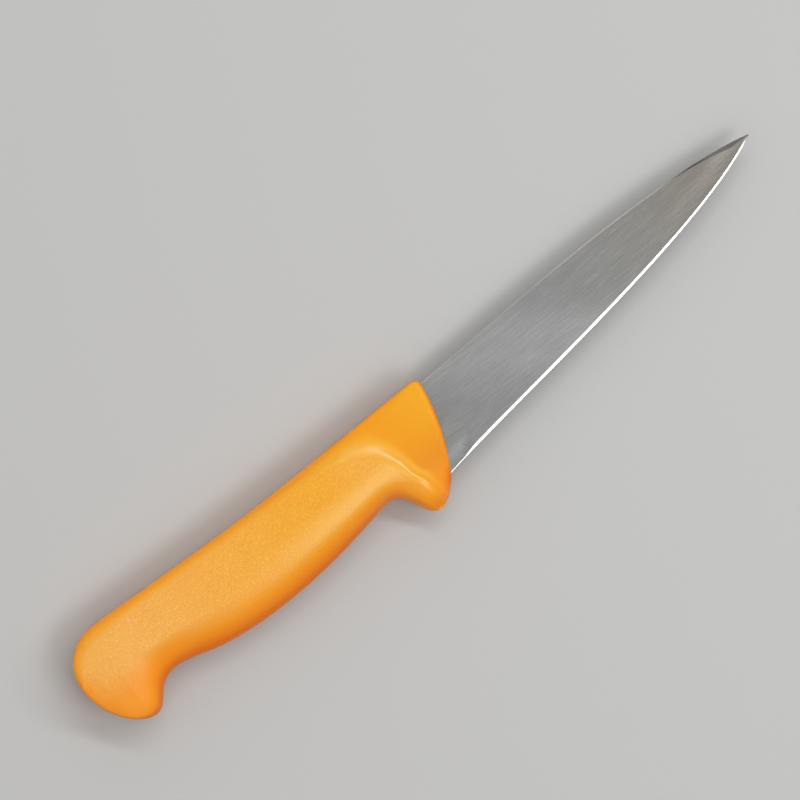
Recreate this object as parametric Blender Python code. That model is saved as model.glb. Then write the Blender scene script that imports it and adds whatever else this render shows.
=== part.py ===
"""Boning knife: a ground steel blade with a hidden tang, and the handle moulded round it.

Drawn lying on its side. x runs from the blade's heel to its tip, y from the handle's
straight back towards the spine side, and z from the middle plane of the blade.
"""

import math

import bmesh
import bpy
import numpy as np
from mathutils import Vector
from mathutils.geometry import interpolate_bezier

# Blade, in metres: places run forward from the heel, drops run down from the handle's back
BLADE_LENGTH = 0.1482
TIP_DROP = 0.0068
HEEL_DROP = 0.0321
SPINE_DROP = 0.0025
CREST_PLACE = 0.0790
CREST_DROP = 0.0008
SPINE_THICKNESS = 0.0023
EDGE_THICKNESS = 0.0006
TIP_THICKNESS = 0.0007
BEVEL_WIDTH = 0.0014
SWAGE_WIDTH = 0.0006
SWAGE_TIP_WIDTH = 0.0016

# Tang, hidden in the handle
STOCK_THICKNESS = 0.0025
ROOT_DEPTH = 0.0080
TANG_HEIGHT = 0.0150
TANG_DROP = 0.0060
TANG_END_COVER = 0.0300
HOLE_RADIUS = 0.0032
HOLE_COUNT = 3
HOLE_END_COVER = 0.0100
FIT = 0.0003

# Handle outline
HANDLE_LENGTH = 0.1408
BUTT_DROP = 0.0117
BUTT_RISE = 0.0037
BUTT_ROUND = 0.0151
HOOK_FROM_BUTT = 0.0141
HOOK_DROP = 0.0328
WAIST_FROM_BUTT = 0.0290
WAIST_DROP = 0.0245
WAIST_RISE = 0.0030
BELLY_PLACE = 0.0680
BELLY_DROP = 0.0313
BELLY_RISE = 0.0005
NOTCH_PLACE = 0.0227
NOTCH_DROP = 0.0266
GUARD_PLACE = 0.0097
GUARD_DROP = 0.0391
NOSE_PLACE = 0.0027
NOSE_DROP = 0.0352
FRONT_PLACE = 0.0108
FRONT_ROUND = 0.0045
FRONT_CORNER_DROP = 0.0024
FRONT_BULGE = 0.0018

# Handle thickness, and the step where the grip ends at a curved crease
BUTT_THICKNESS = 0.0210
WAIST_THICKNESS = 0.0200
GRIP_THICKNESS = 0.0210
FRONT_THICKNESS = 0.0150
CREASE_STEP = 0.0015
CREASE_WIDTH = 0.0045
CREASE_PLACE = 0.0095
CREASE_LEAN = 0.0040
CREASE_SWEEP = 0.0158

# Width of the rounding from each flat side of the handle to its edges
BUTT_ROLL = 0.0030
BACK_ROLL = 0.0034
BOLSTER_ROLL = 0.0020
HOOK_ROLL = 0.0060
WAIST_ROLL = 0.0100
BELLY_ROLL = 0.0145
NOTCH_ROLL = 0.0085
GUARD_ROLL = 0.0034
FRONT_ROLL = 0.0030

# Facets
BACK_FACETS = 5
SIDE_FACETS = 3
BELLY_FACETS = 7
BLADE_STATIONS = 20
HOLE_SIDES = 24

STEEL = (0.32, 0.32, 0.31)
AMBER_POLYMER = (0.83, 0.34, 0.035)


def span(start, end, leave, arrive, steps):
    """Points of one Bezier stretch; leave and arrive set its handles as shares of its own box."""
    (x0, y0), (x1, y1) = start, end
    dx, dy = x1 - x0, y1 - y0
    first = Vector((x0 + leave[0] * dx, y0 + leave[1] * dy, 0))
    second = Vector((x1 - arrive[0] * dx, y1 - arrive[1] * dy, 0))
    points = interpolate_bezier(Vector((x0, y0, 0)), first, second, Vector((x1, y1, 0)), steps + 1)
    return [(p.x, p.y) for p in points]


def path(knots, handles, steps):
    """One smooth outline through the knots, as an array of x, y."""
    points = [knots[0]]
    for start, end, (leave, arrive), count in zip(knots, knots[1:], handles, steps):
        points += span(start, end, leave, arrive, count)[1:]
    return np.array(points)


def ease(share):
    """0 to 1 with a level start and end."""
    share = np.clip(share, 0, 1)
    return share * share * (3 - 2 * share)


def finish_object(name, bm, material=None):
    """A mesh object from a bmesh, with outward faces; without a material it is a hidden cutter."""
    bmesh.ops.recalc_face_normals(bm, faces=bm.faces)
    mesh = bpy.data.meshes.new(name)
    bm.to_mesh(mesh)
    bm.free()
    obj = bpy.data.objects.new(name, mesh)
    bpy.context.scene.collection.objects.link(obj)
    if material:
        mesh.materials.append(material)
    else:
        obj.hide_render = True
        obj.display_type = "WIRE"
    return obj


def principled(name, colour, roughness, metallic):
    material = bpy.data.materials.new(name)
    material.use_nodes = True
    shader = material.node_tree.nodes["Principled BSDF"]
    shader.inputs["Base Color"].default_value = (*colour, 1)
    shader.inputs["Roughness"].default_value = roughness
    shader.inputs["Metallic"].default_value = metallic
    return material


def boolean(obj, operation, other):
    modifier = obj.modifiers.new(f"{operation.lower()} {other.name}", "BOOLEAN")
    modifier.operation = operation
    modifier.object = other


def close_across(bm, loop):
    """Faces straight across a ring, from each point of one half to its twin in the other half."""
    count = len(loop)
    for i in range(count // 2):
        corners = dict.fromkeys((i, i + 1, count - i - 1, (count - i) % count))
        bm.faces.new([loop[c] for c in corners])


def skin(bm, rings, close_start, close_end):
    """Faces between rings of equal length; each end runs to a point, or is closed across."""
    loops = [[bm.verts.new(p) for p in ring] for ring in rings]
    for near, far in zip(loops, loops[1:]):
        for i in range(len(near)):
            j = (i + 1) % len(near)
            bm.faces.new((near[i], near[j], far[j], far[i]))
    for loop, closing in ((loops[0], close_start), (loops[-1], close_end)):
        if closing is None:
            close_across(bm, loop)
            continue
        pole = bm.verts.new(closing)
        for i in range(len(loop)):
            bm.faces.new((loop[i], loop[(i + 1) % len(loop)], pole))


# Blade outline: spine and cutting edge from the root inside the handle to the tip
TIP = (BLADE_LENGTH, -TIP_DROP)
HEEL = (0.0, -HEEL_DROP)
SPINE_START = (FRONT_PLACE, -SPINE_DROP)


def blade_side():
    """The plane of one ground side, as half thickness = a + b x + c y."""
    heel_corner = (HEEL[0], HEEL[1] + BEVEL_WIDTH)
    places = [(1, *SPINE_START), (1, *heel_corner), (1, *TIP)]
    halves = [SPINE_THICKNESS / 2, EDGE_THICKNESS / 2, TIP_THICKNESS / 2]
    return np.linalg.solve(np.array(places), np.array(halves))


SIDE = blade_side()


def half_thickness(point):
    return float(SIDE @ (1, point[0], point[1]))


def blade_rails():
    """Paired points along the spine and the edge, from the handle's front to the tip."""
    crest = (CREST_PLACE, -CREST_DROP)
    half = BLADE_STATIONS // 2
    spine = path(
        [SPINE_START, crest, TIP],
        [((0.33, 0.33), (0.33, 0)), ((0.20, 0), (0.26, 0.90))],
        [half, half],
    )
    edge = path([HEEL, TIP], [((0.20, 0.20), (0.21, 0.60))], [2 * half])
    return spine, edge


def root_point(point, forward):
    """A point moved along the blade into the handle, by the depth of the hidden root."""
    away = np.array(point) - np.array(forward)
    return np.array(point) + away / np.linalg.norm(away) * ROOT_DEPTH


def blade_section(spine, edge, along):
    """One closed section: edge, bevel tops, flat sides and the eased spine."""
    rise = spine - edge
    height = np.linalg.norm(rise)
    up = rise / height
    bevel = edge + up * min(BEVEL_WIDTH, 0.40 * height)
    swage_width = SWAGE_WIDTH + (SWAGE_TIP_WIDTH - SWAGE_WIDTH) * ease((along - 0.6) / 0.3)
    swage = spine - up * min(swage_width, 0.35 * height)
    bevel_half = half_thickness(bevel)
    swage_half = half_thickness(swage)
    spine_half = 0.6 * swage_half
    side = [(*bevel, bevel_half), (*swage, swage_half), (*spine, spine_half)]
    other = [(x, y, -z) for x, y, z in reversed(side)]
    return [(*edge, 0.0)] + side + other


def make_blade(material):
    spine, edge = blade_rails()
    spine = np.vstack([root_point(spine[0], spine[1]), spine])
    edge = np.vstack([root_point(edge[0], edge[1]), edge])
    shares = np.linspace(0, 1, len(spine))
    rings = [blade_section(s, e, along) for s, e, along in zip(spine[:-1], edge[:-1], shares)]
    bm = bmesh.new()
    skin(bm, rings, None, (*TIP, 0.0))
    return finish_object("blade", bm, material)


# Tang: from inside the blade's root back to its cover at the butt
TANG_BACK = TANG_END_COVER - HANDLE_LENGTH
TANG_FRONT = FRONT_PLACE - ROOT_DEPTH


def make_bar(name, grow):
    """The tang's plain bar with a round end; grow adds the moulding's clearance all round."""
    half = TANG_HEIGHT / 2 + grow
    middle = -TANG_DROP - TANG_HEIGHT / 2
    end = TANG_BACK + TANG_HEIGHT / 2
    angles = np.linspace(math.pi / 2, 3 * math.pi / 2, HOLE_SIDES // 2 + 1)
    front = TANG_FRONT + grow
    outline = [(front, middle + half)]
    outline += [(end + half * math.cos(a), middle + half * math.sin(a)) for a in angles]
    outline.append((front, middle - half))
    bm = bmesh.new()
    face = bm.faces.new([bm.verts.new((x, y, -STOCK_THICKNESS / 2 - grow)) for x, y in outline])
    grown = bmesh.ops.extrude_face_region(bm, geom=[face])["geom"]
    lifted = [v for v in grown if isinstance(v, bmesh.types.BMVert)]
    bmesh.ops.translate(bm, vec=(0, 0, STOCK_THICKNESS + 2 * grow), verts=lifted)
    return finish_object(name, bm)


def make_hole_pins(name, grow):
    """The round bars that stand in the tang's holes; grow narrows them for the posts."""
    bm = bmesh.new()
    middle = -TANG_DROP - TANG_HEIGHT / 2
    first = TANG_BACK + HOLE_END_COVER
    last = -GUARD_PLACE - HOLE_END_COVER
    for x in np.linspace(first, last, HOLE_COUNT):
        made = bmesh.ops.create_cone(
            bm,
            cap_ends=True,
            segments=HOLE_SIDES,
            radius1=HOLE_RADIUS - grow,
            radius2=HOLE_RADIUS - grow,
            depth=2 * STOCK_THICKNESS,
        )
        bmesh.ops.translate(bm, vec=(x, middle, 0), verts=made["verts"])
    return finish_object(name, bm)


def make_root_slot():
    """The space in the handle's front for the blade's root, with clearance all round."""
    spine, edge = blade_rails()
    up = (spine[0] - edge[0]) / np.linalg.norm(spine[0] - edge[0]) * FIT
    corners = []
    for (start, ahead), side in ((spine[:2], up), (edge[:2], -up)):
        back = root_point(start, ahead)
        forward = (start - back) / ROOT_DEPTH
        corners.append((back - forward * FIT + side, start + forward * ROOT_DEPTH + side))
    (spine_back, spine_front), (edge_back, edge_front) = corners
    outline = [spine_back, spine_front, edge_front, edge_back]
    bm = bmesh.new()
    skin(
        bm,
        [[(*p, sign * (half_thickness(p) + FIT)) for p in outline] for sign in (-1, 1)],
        None,
        None,
    )
    return finish_object("root_slot", bm)


# Handle: paired knots along its back and its belly, from the butt to the blade
STEPS = (8, 7, 7, 7, 9, 5, 6)
BUTT = (-HANDLE_LENGTH, -BUTT_DROP)
BACK_KNOTS = [
    BUTT,
    (BUTT_ROUND - HANDLE_LENGTH, BUTT_RISE),
    (WAIST_FROM_BUTT - HANDLE_LENGTH, WAIST_RISE),
    (-BELLY_PLACE, BELLY_RISE),
    (-NOTCH_PLACE, 0.0),
    (-NOSE_PLACE, 0.0),
    (FRONT_PLACE - FRONT_ROUND, 0.0),
    (FRONT_PLACE, -FRONT_CORNER_DROP),
]
BACK_HANDLES = [
    ((0, 0.62), (0.53, 0)),
    ((0.33, 0), (0.33, 0.40)),
    ((0.33, 0.34), (0.33, 0.24)),
    ((0.33, 0.90), (0.33, 0)),
    ((0.33, 0), (0.33, 0)),
    ((0.33, 0), (0.33, 0)),
    ((0.58, 0), (0.05, 0.50)),
]
BELLY_KNOTS = [
    BUTT,
    (HOOK_FROM_BUTT - HANDLE_LENGTH, -HOOK_DROP),
    (WAIST_FROM_BUTT - HANDLE_LENGTH, -WAIST_DROP),
    (-BELLY_PLACE, -BELLY_DROP),
    (-NOTCH_PLACE, -NOTCH_DROP),
    (-GUARD_PLACE, -GUARD_DROP),
    (-NOSE_PLACE, -NOSE_DROP),
    HEEL,
]
BELLY_HANDLES = [
    ((0, 0.52), (0.46, 0)),
    ((0.39, 0), (0.63, 0)),
    ((0.19, 0), (0.69, 0)),
    ((0.52, 0), (0.09, 0)),
    ((0.65, 0), (0.53, 0)),
    ((0.43, 0), (0.20, 0.36)),
    ((0.33, 0.25), (0.25, 0.40)),
]


def station_shares():
    """Every station as a number: its stretch, plus how far along that stretch it lies."""
    shares = [0.0]
    for stretch, count in enumerate(STEPS):
        shares += [stretch + (i + 1) / count for i in range(count)]
    return np.array(shares)


def eased(share, stages):
    """A size that runs from stage to stage: stages pairs each share with its size, in order."""
    size = stages[0][1]
    for (start, low), (end, high) in zip(stages, stages[1:]):
        size += (high - low) * float(ease((share - start) / (end - start)))
    return size


def quarter(share):
    """Height of a quarter circle, from 0 at its edge to 1 at its crown."""
    return math.sqrt(1 - (1 - min(max(share, 0.0), 1.0)) ** 2)


def handle_half_thickness(x, share):
    """Rolled over at the butt, waisted, level along the grip, thinner and rolled at the front."""
    sizes = [(1, BUTT_THICKNESS), (2, WAIST_THICKNESS), (3, GRIP_THICKNESS)]
    sizes += [(4, GRIP_THICKNESS), (6, FRONT_THICKNESS)]
    half = eased(share, sizes) / 2 * quarter((x + HANDLE_LENGTH) / BUTT_ROLL)
    return half - FRONT_ROLL * (1 - quarter(7 - share))


def crease_drop(x, y):
    """How far a side steps down in front of the curved crease that ends the grip."""
    top = (y + NOTCH_DROP) / NOTCH_DROP
    line = -CREASE_PLACE - CREASE_LEAN * top - CREASE_SWEEP * top**6
    lean = (CREASE_LEAN + 6 * CREASE_SWEEP * top**5) / NOTCH_DROP
    ahead = (x - line) / math.hypot(1, lean) / CREASE_WIDTH
    return CREASE_STEP * (1 - (1 - min(max(ahead, 0.0), 1.0)) ** 2)


def side_profile(width, share):
    """One side from back to belly, as shares of the width and of the half thickness."""
    back = eased(share, [(4, BACK_ROLL), (6, BOLSTER_ROLL)])
    sizes = [(1, HOOK_ROLL), (2, WAIST_ROLL), (3, BELLY_ROLL), (4, NOTCH_ROLL), (5, GUARD_ROLL)]
    belly = eased(share, sizes)
    fit = min(1.0, width / (back + belly))
    back, belly = fit * back / width, fit * belly / width
    rise = np.linspace(0, math.pi / 2, BACK_FACETS + 1)
    level = np.linspace(back, 1 - belly, SIDE_FACETS + 1)[1:-1]
    fall = np.linspace(0, math.pi / 2, BELLY_FACETS + 1)
    profile = [(back * (1 - math.cos(a)), math.sin(a)) for a in rise]
    profile += [(across, 1.0) for across in level]
    profile += [(1 - belly + belly * math.sin(a), math.cos(a)) for a in fall]
    return profile


def handle_ring(back, belly, share):
    """One cross-section: flat sides, a tight roll at the back and a wide one at the belly."""
    bulge = FRONT_BULGE * float(ease((share - 4) / 3))
    upper = []
    for across, lift in side_profile(np.linalg.norm(belly - back), share):
        x, y = back + (belly - back) * across
        half = handle_half_thickness(x, share)
        x += bulge * (1 - (2 * across - 1) ** 2)
        upper.append((x, y, lift * (half - crease_drop(x, y))))
    lower = [(x, y, -z) for x, y, z in reversed(upper[1:-1])]
    return upper + lower


def make_handle(material):
    back = path(BACK_KNOTS, BACK_HANDLES, STEPS)
    belly = path(BELLY_KNOTS, BELLY_HANDLES, STEPS)
    shares = station_shares()
    rings = [handle_ring(*station) for station in zip(back[1:], belly[1:], shares[1:])]
    bm = bmesh.new()
    skin(bm, rings, (*BUTT, 0.0), None)
    return finish_object("handle", bm, material)


def main():
    for obj in list(bpy.data.objects):
        bpy.data.objects.remove(obj)
    blade = make_blade(principled("ground_steel", STEEL, 0.32, 1.0))
    handle = make_handle(principled("amber_polymer", AMBER_POLYMER, 0.42, 0.0))
    tang = make_bar("tang_bar", 0.0)
    tang_holes = make_hole_pins("tang_holes", 0.0)
    tang_space = make_bar("tang_space", FIT)
    posts = make_hole_pins("posts", FIT)
    root_slot = make_root_slot()
    boolean(blade, "UNION", tang)
    boolean(blade, "DIFFERENCE", tang_holes)
    boolean(tang_space, "DIFFERENCE", posts)
    boolean(handle, "DIFFERENCE", tang_space)
    boolean(handle, "DIFFERENCE", root_slot)

    # The knife lies on the handle's side, with the middle of its box over the origin
    points = np.array([v.co for obj in (blade, handle) for v in obj.data.vertices])
    low, high = points.min(axis=0), points.max(axis=0)
    knife = bpy.data.objects.new("knife", None)
    bpy.context.scene.collection.objects.link(knife)
    knife.location = (-(low[0] + high[0]) / 2, -(low[1] + high[1]) / 2, -low[2])
    for obj in (blade, handle, tang, tang_holes, tang_space, posts, root_slot):
        obj.parent = knife
    for obj in (blade, handle):
        obj.data.shade_smooth()
        obj.data.set_sharp_from_angle(angle=math.radians(30))


main()
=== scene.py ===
"""Boning knife lying on its side: a ground steel blade, and the amber handle moulded round its tang.

Shapes are drawn in the knife's own frame, in metres: x runs from the blade's heel to its tip, y from
the handle's straight back towards the spine side, and z from the middle plane of the blade.
"""

import math

import bmesh
import bpy
import numpy as np
from mathutils import Matrix, Vector
from mathutils.geometry import interpolate_bezier


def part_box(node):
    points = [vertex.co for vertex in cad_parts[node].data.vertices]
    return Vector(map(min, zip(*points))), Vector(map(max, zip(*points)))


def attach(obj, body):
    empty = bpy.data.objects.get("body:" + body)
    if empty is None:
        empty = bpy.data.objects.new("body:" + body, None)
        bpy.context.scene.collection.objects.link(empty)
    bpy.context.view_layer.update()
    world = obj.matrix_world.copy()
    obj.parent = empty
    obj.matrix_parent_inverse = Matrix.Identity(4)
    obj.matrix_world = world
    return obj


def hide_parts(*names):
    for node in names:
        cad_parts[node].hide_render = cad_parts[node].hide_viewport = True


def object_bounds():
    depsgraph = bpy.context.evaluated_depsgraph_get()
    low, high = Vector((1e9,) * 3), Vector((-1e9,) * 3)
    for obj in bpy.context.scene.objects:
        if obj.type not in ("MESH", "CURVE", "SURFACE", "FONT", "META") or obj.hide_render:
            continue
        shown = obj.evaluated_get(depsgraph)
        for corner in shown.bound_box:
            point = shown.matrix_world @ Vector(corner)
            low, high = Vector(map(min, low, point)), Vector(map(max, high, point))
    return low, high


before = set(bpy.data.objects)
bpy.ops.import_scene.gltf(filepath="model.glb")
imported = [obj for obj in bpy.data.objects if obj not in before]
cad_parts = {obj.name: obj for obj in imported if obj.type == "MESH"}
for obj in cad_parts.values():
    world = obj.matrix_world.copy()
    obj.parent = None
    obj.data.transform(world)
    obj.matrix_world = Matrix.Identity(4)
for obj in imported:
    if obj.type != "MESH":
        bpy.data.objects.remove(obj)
cad_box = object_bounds()

# Blade: places run forward from the heel, drops run down from the handle's back
BLADE_LENGTH = 0.1482
TIP_DROP = 0.0068
HEEL_DROP = 0.0321
SPINE_DROP = 0.0025
CREST_PLACE = 0.0790
CREST_DROP = 0.0008
SPINE_HALF = 0.00115
EDGE_HALF = 0.00019
TIP_HALF = 0.00035
BEVEL_WIDTH = 0.00086
HEEL_BEVEL_WIDTH = 0.00016
TIP_BEVEL_WIDTH = 0.00042
BEVEL_TAPER_START = 0.0300
PLUNGE_START = 0.0062
PLUNGE_END = 0.0125
SWAGE_WIDTH = 0.0005
SWAGE_TIP_WIDTH = 0.0017
SWAGE_START = 0.1240
SWAGE_END = 0.1420
SWAGE_SLOPE = 0.55
THINNED_HEIGHT = 0.0070
BEVEL_LIMIT = 0.40
SWAGE_LIMIT = 0.35
SPINE_LIMIT = 0.5
CUTTING_HALF = 0.00001
SPINE_CROWN = 0.00002

# Tang, hidden in the handle
TANG_HALF = 0.00125
ROOT_DEPTH = 0.0080
TANG_HEIGHT = 0.0150
TANG_DROP = 0.0060
TANG_END_COVER = 0.0300
HOLE_RADIUS = 0.0032
HOLE_COUNT = 3
HOLE_COVER = 0.0100
HOLE_SEGMENTS = 32
END_SEGMENTS = 24
FIT = 0.00003

# Handle outline
HANDLE_LENGTH = 0.1408
BUTT_DROP = 0.0117
BUTT_RISE = 0.0037
BUTT_ROUND = 0.0151
HOOK_FROM_BUTT = 0.0141
HOOK_DROP = 0.0328
WAIST_FROM_BUTT = 0.0290
WAIST_DROP = 0.0245
WAIST_RISE = 0.0030
BELLY_PLACE = 0.0680
BELLY_DROP = 0.0313
BELLY_RISE = 0.0005
NOTCH_PLACE = 0.0227
NOTCH_DROP = 0.0266
GUARD_PLACE = 0.0097
GUARD_DROP = 0.0391
NOSE_PLACE = 0.0027
NOSE_DROP = 0.0352
FRONT_PLACE = 0.0108
FRONT_ROUND = 0.0045
FRONT_CORNER_DROP = 0.0024
BOLSTER_PLACE = -0.0160

# Rolled edges of the handle: width and depth of the roll, lean of the steep wall under it, and how
# sharply the roll breaks away from the flat side
ROLLS = {
    "Butt": (0.0038, 0.0032, 0.0006, 0.0),
    "Crown": (0.0072, 0.0044, 0.0006, 0.10),
    "Back": (0.0060, 0.0038, 0.0004, 0.0),
    "Bolster": (0.0017, 0.0016, 0.0004, 0.0),
    "Low butt": (0.0110, 0.0034, 0.0008, 0.0),
    "Hook": (0.0165, 0.0064, 0.0022, 0.0),
    "Waist": (0.0102, 0.0072, 0.0034, 0.44),
    "Belly": (0.0145, 0.0105, 0.0145, 0.0),
    "Notch": (0.0105, 0.0078, 0.0040, 0.0),
    "Guard": (0.0130, 0.0085, 0.0025, 0.0),
    "Under": (0.0125, 0.0080, 0.0040, 0.0),
    "Heel": (0.0085, 0.0062, 0.0030, 0.0),
}
ROLL_KINDS = ("roll", "depth", "draft", "break")

# Sizes that the handle's node tree reads by name
HANDLE_SIZES = {
    "Butt half": 0.0105,
    "Waist half": 0.0100,
    "Grip half": 0.0105,
    "Front half": 0.0090,
    "Front roll": 0.0026,
    "Front share": 0.75,
    "Front bulge": 0.0018,
    "Notch drop": NOTCH_DROP,
    "Crease slope": 0.48,
    "Crease width": 0.0031,
    "Crest round": 0.0016,
    "Foot round": 0.0012,
    "Crease fade": 0.0036,
    "Crease kick": 0.0014,
    "Crease pinch": 0.75,
    "Crease place": 0.0103,
    "Crease lean": 0.0040,
    "Crease sweep": 0.0300,
    "Parting rise": 0.00010,
    "Parting half": 0.00028,
    "Gate place": -0.0095,
    "Gate length": 0.0024,
    "Gate half": 0.0014,
    "Gate rise": 0.00025,
    "Unevenness": 0.00006,
}
for word, sizes in ROLLS.items():
    HANDLE_SIZES.update({f"{word} {kind}": size for kind, size in zip(ROLL_KINDS, sizes)})

# The crease: the power of its sweep, where along y it kicks forward and is pinched, and how much nearer
# its foot comes there
CREASE_POWER = 5
KICK_REACH = (-0.0230, -0.0285)
PINCH_REACH = (-0.0165, -0.0270)
PINCHED_FOOT = 0.4

# Where the handle's finishes begin and end: distances ahead of the crease, and turns of the rolled edge
BOLSTER_AHEAD = (0.0022, 0.0048)
GRAIN_AHEAD = (-0.0006, -0.0034)
GRAIN_TURN = (0.84, 0.97)
MATT_AHEAD = (0.0010, 0.0026)
CREST_START = (-0.0010, 0.0002)
CREST_END = (0.0032, 0.0012)
FRONT_WALL_RISE = 0.35

# The mould's marks: stations where the parting line fades, the gate's edge, where it starts on the ring,
# and the scale of the unevenness
PARTING_FADE = (6.9, 6.5)
GATE_EDGE = (1.0, 0.4)
GATE_START = 0.6
UNEVEN_SCALE = 55.0

# Fineness of the handle: stations to each stretch of its rails, points to each part of a ring, and how far
# they are drawn together towards the edges
STRETCHES = 7
STRETCH_STATIONS = 64
WALL_ROWS = 6
WALL_POINTS = 7
BACK_POINTS = 19
SIDE_POINTS = 38
BELLY_POINTS = 34
WALL_CROWDING = 2.0
BELLY_CROWDING = 1.7
TINY = 1e-7
MERGE_DISTANCE = 1e-6

TIP = (BLADE_LENGTH, -TIP_DROP)
HEEL = (0.0, -HEEL_DROP)
SPINE_START = (FRONT_PLACE, -SPINE_DROP)
BUTT = (-HANDLE_LENGTH, -BUTT_DROP)

handle_low, handle_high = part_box("handle")
ORIGIN = Vector(
    (
        handle_low.x + HANDLE_LENGTH,
        handle_high.y - BUTT_RISE,
        (handle_low.z + handle_high.z) / 2,
    )
)


class Num:
    """A number in a node tree; arithmetic on it adds math nodes, so the laws read as formulas."""

    def __init__(self, graph, socket):
        self.graph = graph
        self.socket = socket

    def __add__(self, other):
        return self.graph.math("ADD", self, other)

    def __radd__(self, other):
        return self.graph.math("ADD", other, self)

    def __sub__(self, other):
        return self.graph.math("SUBTRACT", self, other)

    def __rsub__(self, other):
        return self.graph.math("SUBTRACT", other, self)

    def __mul__(self, other):
        return self.graph.math("MULTIPLY", self, other)

    def __rmul__(self, other):
        return self.graph.math("MULTIPLY", other, self)

    def __truediv__(self, other):
        return self.graph.math("DIVIDE", self, other)

    def __rtruediv__(self, other):
        return self.graph.math("DIVIDE", other, self)

    def __pow__(self, other):
        return self.graph.math("POWER", self, other)


class Graph:
    """Fills one node tree, for a shape or for a material."""

    def __init__(self, tree):
        self.tree = tree

    def feed(self, socket, value):
        if isinstance(value, Num):
            value = value.socket
        if isinstance(value, bpy.types.NodeSocket):
            self.tree.links.new(value, socket)
        else:
            socket.default_value = value

    def add(self, kind, inputs=None, **settings):
        """A node of that kind; inputs are fed by socket name."""
        node = self.tree.nodes.new(kind)
        for name, value in settings.items():
            setattr(node, name, value)
        for name, value in (inputs or {}).items():
            self.feed(node.inputs[name], value)
        return node

    def math(self, operation, *values):
        node = self.add("ShaderNodeMath", operation=operation)
        for socket, value in zip(node.inputs, values):
            self.feed(socket, value)
        return Num(self, node.outputs[0])

    def clamp(self, value):
        return self.math("MINIMUM", self.math("MAXIMUM", value, 0.0), 1.0)

    def smooth(self, value, start, end, low=0.0, high=1.0):
        """From low at start to high at end, level at both."""
        ends = {"From Min": start, "From Max": end, "To Min": low, "To Max": high}
        node = self.add("ShaderNodeMapRange", {"Value": value, **ends})
        node.interpolation_type = "SMOOTHSTEP"
        return Num(self, node.outputs[0])

    def stages(self, value, places, sizes):
        """A size that runs smoothly from place to place along the value."""
        total = sizes[0]
        for start, end, low, high in zip(places, places[1:], sizes, sizes[1:]):
            total = total + self.smooth(value, start, end) * (high - low)
        return total

    def quarter(self, value):
        """Height of a quarter circle, from 0 at its edge to 1 at its crown."""
        inward = 1.0 - self.clamp(value)
        return self.math("SQRT", 1.0 - inward * inward)

    def rounded(self, value, radius):
        """Zero before zero and the value itself after it, rounded over the radius on both sides."""
        share = self.clamp((value + radius) / (radius * 2.0))
        return radius * share * share + self.math("MAXIMUM", value - radius, 0.0)

    def vector(self, x, y, z):
        return self.add("ShaderNodeCombineXYZ", {"X": x, "Y": y, "Z": z}).outputs[0]

    def parts(self, vector):
        node = self.add("ShaderNodeSeparateXYZ", {0: vector})
        return [Num(self, socket) for socket in node.outputs]

    def noise(self, vector, scale, detail=2.0, roughness=0.5):
        inputs = {"Vector": vector, "Scale": scale, "Detail": detail, "Roughness": roughness}
        return Num(self, self.add("ShaderNodeTexNoise", inputs).outputs[0])

    def mix(self, share, first, second):
        """A colour between two."""
        node = self.add("ShaderNodeMix", data_type="RGBA")
        sockets = {socket.identifier: socket for socket in node.inputs}
        self.feed(sockets["Factor_Float"], share)
        self.feed(sockets["A_Color"], first)
        self.feed(sockets["B_Color"], second)
        return next(s for s in node.outputs if s.identifier == "Result_Color")


def material_graph(name):
    """A new material: its graph and its Principled shader."""
    material = bpy.data.materials.new(name)
    material.use_nodes = True
    graph = Graph(material.node_tree)
    return material, graph, material.node_tree.nodes["Principled BSDF"]


def attribute(graph, name):
    return Num(graph, graph.add("ShaderNodeAttribute", attribute_name=name).outputs["Fac"])


# Amber tones of the moulding; each pair runs from its deeper to its paler end: the grip's pairs along the
# grain, the rolls' and crest's along random tone, and the bolster's mostly along its painted light
AMBER_PAIRS = {
    "front": ((0.85, 0.354, 0.002, 1), (0.92, 0.462, 0.013, 1)),
    # butt: the grain's tones again, paler and whiter as a painted haze of reflected light
    "butt": ((0.87, 0.388, 0.050, 1), (0.94, 0.502, 0.108, 1)),
    # low roll, top roll: deeper tones of the rolls, partly their smooth finish and partly painted shade;
    # the top one paler as painted light
    "low roll": ((0.95, 0.298, 0.012, 1), (0.96, 0.322, 0.017, 1)),
    "top roll": ((0.98, 0.350, 0.013, 1), (0.99, 0.375, 0.018, 1)),
    # bolster: mostly painted light, paler towards the bolster's front and top, partly random tone
    "bolster": ((0.85, 0.330, 0.001, 1), (0.87, 0.408, 0.008, 1)),
    # crest: yellower, painted light on the crest and slope of the crease
    "crest": ((0.87, 0.400, 0.014, 1), (0.89, 0.430, 0.022, 1)),
}
AMBER_TONES = {
    # a painted sheen: paler and whiter where a highlight lies above the grip's belly
    "painted_sheen": (0.95, 0.550, 0.130, 1),
    # guard roll: painted light, paler rolls at the guard
    "guard roll": (0.99, 0.385, 0.022, 1),
    # painted shade on the bolster's lower part
    "painted shade low bolster": (0.81, 0.283, 0.003, 1),
    # hook: painted shade in the hook's recess
    "hook": (0.90, 0.300, 0.020, 1),
    # painted shade where the grip's rear begins to roll over below
    "painted_waist_shade": (0.93, 0.330, 0.020, 1),
    # low wall, guard wall, top wall: painted shade on the steep walls, paler as painted light at the guard
    # and on the top side
    "low wall": (0.86, 0.195, 0.005, 1),
    "guard wall": (0.99, 0.290, 0.014, 1),
    "top wall": (0.98, 0.325, 0.012, 1),
    "gate": (0.86, 0.520, 0.160, 1),
}

# Where the tones change, in the imported model's frame; each reach runs from none of the tone to all of it
# Where the flats end and the walls steepen: the rolls and walls beyond take deeper tones, partly painted
# shade
FLAT_LEVEL = (0.77, 0.980)
STEEP_RISE = (0.82, 0.35)
GLOSS_Y = (0.014, -0.001)
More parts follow.
